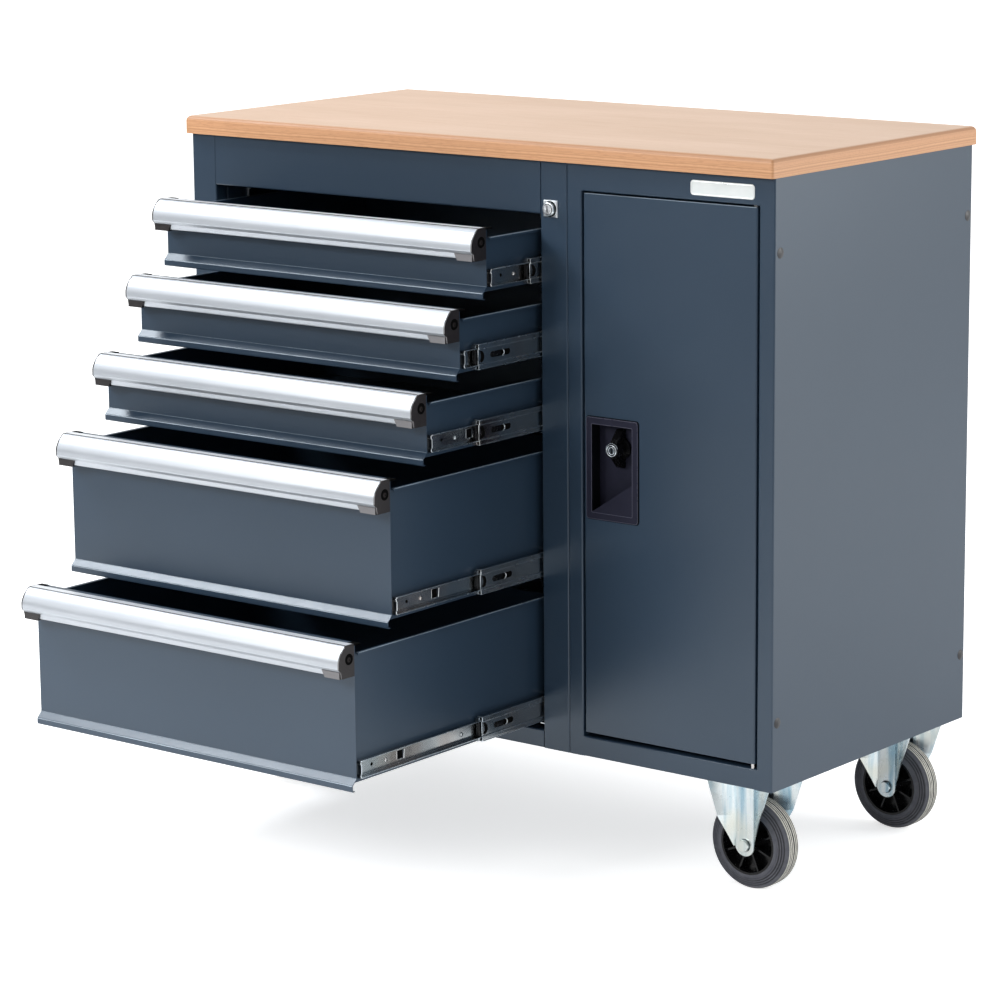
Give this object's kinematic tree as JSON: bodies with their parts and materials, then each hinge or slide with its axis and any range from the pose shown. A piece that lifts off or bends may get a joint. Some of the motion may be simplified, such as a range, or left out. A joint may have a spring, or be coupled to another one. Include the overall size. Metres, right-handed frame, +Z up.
{
  "type": "rolling tool cabinet",
  "caption": "Steel tool cabinet on castors with a wooden worktop, a stack of full-extension drawers beside a hinged door, and a central drawer lock.",
  "frame": {"origin": "middle of the bounding box at floor level, with the drawers as open as they are at rest", "axes": "+X to the cabinet's right seen from the front, +Y to its back, +Z up"},
  "size_m": [1.006, 0.8978, 0.983],
  "materials": {
    "body_blue": "satin powder coat",
    "grip_aluminium": "satin anodised",
    "black_plastic": "fine grained",
    "zinc_steel": "bright zinc",
    "chrome": "polished",
    "beech": "oiled",
    "tyre_rubber": "moulded tread",
    "rim_plastic": "moulded"
  },
  "bodies": {
    "cabinet": {"worktop": "beech", "left_side_panel": "body_blue", "right_side_panel": "body_blue", "drawer_module_wall": "body_blue", "door_module_wall": "body_blue", "front_rails": "body_blue", "back_panels": "body_blue", "floor_panels": "body_blue", "slide_uprights": "body_blue", "shelf": "body_blue", "side_plugs": "black_plastic", "cabinet_slides": "zinc_steel", "hinge_pins": "chrome", "lock_body": "chrome", "castor_mounts": "zinc_steel", "carcass_bolts": "zinc_steel"},
    "door": {"door_panel": "body_blue", "door_tray": "black_plastic"},
    "door_knob": {"door_knob": "black_plastic", "door_latch": "zinc_steel"},
    "door_key": {"door_key_cylinder": "chrome"},
    "lock_plug": {"lock_plug": "chrome"},
    "lock_bar": {"lock_bar": "zinc_steel"},
    "slide_mid_1": {"mid_slides_1": "zinc_steel"},
    "drawer_1": {"drawer_body_1": "body_blue", "drawer_grip_1": "grip_aluminium", "grip_caps_1": "black_plastic", "drawer_slides_1": "zinc_steel"},
    "slide_mid_2": {"mid_slides_2": "zinc_steel"},
    "drawer_2": {"drawer_body_2": "body_blue", "drawer_grip_2": "grip_aluminium", "grip_caps_2": "black_plastic", "drawer_slides_2": "zinc_steel"},
    "slide_mid_3": {"mid_slides_3": "zinc_steel"},
    "drawer_3": {"drawer_body_3": "body_blue", "drawer_grip_3": "grip_aluminium", "grip_caps_3": "black_plastic", "drawer_slides_3": "zinc_steel"},
    "slide_mid_4": {"mid_slides_4": "zinc_steel"},
    "drawer_4": {"drawer_body_4": "body_blue", "drawer_grip_4": "grip_aluminium", "grip_caps_4": "black_plastic", "drawer_slides_4": "zinc_steel"},
    "slide_mid_5": {"mid_slides_5": "zinc_steel"},
    "drawer_5": {"drawer_body_5": "body_blue", "drawer_grip_5": "grip_aluminium", "grip_caps_5": "black_plastic", "drawer_slides_5": "zinc_steel"},
    "wheel_right_front": {"tyre_right_front": "tyre_rubber", "wheel_rim_right_front": "rim_plastic"},
    "wheel_right_rear": {"tyre_right_rear": "tyre_rubber", "wheel_rim_right_rear": "rim_plastic"},
    "wheel_left_front": {"tyre_left_front": "tyre_rubber", "wheel_rim_left_front": "rim_plastic"},
    "wheel_left_rear": {"tyre_left_rear": "tyre_rubber", "wheel_rim_left_rear": "rim_plastic"},
    "swivel_left_front": {"swivel_fork_left_front": "zinc_steel"},
    "brake_left_front": {"brake_pedal_left_front": "black_plastic"},
    "swivel_left_rear": {"swivel_fork_left_rear": "zinc_steel"},
    "brake_left_rear": {"brake_pedal_left_rear": "black_plastic"}
  },
  "joints": [
    {"name": "drawer_1_slide", "type": "slide", "parent": "slide_mid_1", "child": "drawer_1", "axis": [0, -1, 0], "range_m": [-0.0745, 0.1805]},
    {"name": "mid_slide_1_run", "type": "slide", "parent": "cabinet", "child": "slide_mid_1", "axis": [0, -1, 0], "range_m": [-0.034, 0.111]},
    {"name": "drawer_2_slide", "type": "slide", "parent": "slide_mid_2", "child": "drawer_2", "axis": [0, -1, 0], "range_m": [-0.0207, 0.2343]},
    {"name": "mid_slide_2_run", "type": "slide", "parent": "cabinet", "child": "slide_mid_2", "axis": [0, -1, 0], "range_m": [-0.145, 0]},
    {"name": "drawer_3_slide", "type": "slide", "parent": "slide_mid_3", "child": "drawer_3", "axis": [0, -1, 0], "range_m": [-0.0902, 0.1648]},
    {"name": "mid_slide_3_run", "type": "slide", "parent": "cabinet", "child": "slide_mid_3", "axis": [0, -1, 0], "range_m": [-0.145, 0]},
    {"name": "drawer_4_slide", "type": "slide", "parent": "slide_mid_4", "child": "drawer_4", "axis": [0, -1, 0], "range_m": [-0.1653, 0.0897]},
    {"name": "mid_slide_4_run", "type": "slide", "parent": "cabinet", "child": "slide_mid_4", "axis": [0, -1, 0], "range_m": [-0.145, 0]},
    {"name": "drawer_5_slide", "type": "slide", "parent": "slide_mid_5", "child": "drawer_5", "axis": [0, -1, 0], "range_m": [-0.2404, 0.0146]},
    {"name": "mid_slide_5_run", "type": "slide", "parent": "cabinet", "child": "slide_mid_5", "axis": [0, -1, 0], "range_m": [-0.145, 0]},
    {"name": "door_hinge", "type": "hinge", "parent": "cabinet", "child": "door", "pos_m": [0.468, -0.02855, 0.55425], "axis": [0, 0, 1], "range_deg": [0, 110]},
    {"name": "door_knob_turn", "type": "hinge", "parent": "door", "child": "door_knob", "pos_m": [0.2454, -0.03305, 0.581], "axis": [0, -1, 0], "range_deg": [0, 90]},
    {"name": "door_key_turn", "type": "hinge", "parent": "door_knob", "child": "door_key", "pos_m": [0.2454, -0.03305, 0.581], "axis": [0, -1, 0], "range_deg": [0, 90]},
    {"name": "lock_key_turn", "type": "hinge", "parent": "cabinet", "child": "lock_plug", "pos_m": [0.144, -0.03305, 0.8945], "axis": [0, 1, 0], "range_deg": [0, 90]},
    {"name": "lock_bar_slide", "type": "slide", "parent": "cabinet", "child": "lock_bar", "axis": [0, 0, -1], "range_m": [0, 0.008]},
    {"name": "wheel_right_front_spin", "type": "hinge", "parent": "cabinet", "child": "wheel_right_front", "pos_m": [0.431, 0.03095, 0.0625], "axis": [0, 1, 0], "continuous": true},
    {"name": "wheel_right_rear_spin", "type": "hinge", "parent": "cabinet", "child": "wheel_right_rear", "pos_m": [0.431, 0.37895, 0.0625], "axis": [0, 1, 0], "continuous": true},
    {"name": "wheel_left_front_spin", "type": "hinge", "parent": "swivel_left_front", "child": "wheel_left_front", "pos_m": [-0.431, 0.06895, 0.0625], "axis": [1, 0, 0], "continuous": true},
    {"name": "wheel_left_rear_spin", "type": "hinge", "parent": "swivel_left_rear", "child": "wheel_left_rear", "pos_m": [-0.431, 0.34095, 0.0625], "axis": [1, 0, 0], "continuous": true},
    {"name": "swivel_left_front_turn", "type": "hinge", "parent": "cabinet", "child": "swivel_left_front", "pos_m": [-0.431, 0.03095, 0.15], "axis": [0, 0, 1], "continuous": true},
    {"name": "brake_left_front_press", "type": "hinge", "parent": "swivel_left_front", "child": "brake_left_front", "pos_m": [-0.431, 0.07195, 0.13], "axis": [-1, 0, 0], "range_deg": [0, 14]},
    {"name": "swivel_left_rear_turn", "type": "hinge", "parent": "cabinet", "child": "swivel_left_rear", "pos_m": [-0.431, 0.37895, 0.15], "axis": [0, 0, 1], "continuous": true},
    {"name": "brake_left_rear_press", "type": "hinge", "parent": "swivel_left_rear", "child": "brake_left_rear", "pos_m": [-0.431, 0.33795, 0.13], "axis": [1, 0, 0], "range_deg": [0, 14]}
  ],
  "couplings": [
    {"joint": "lock_key_turn", "follows": "lock_bar_slide", "rad_per_m": 196.35}
  ]
}
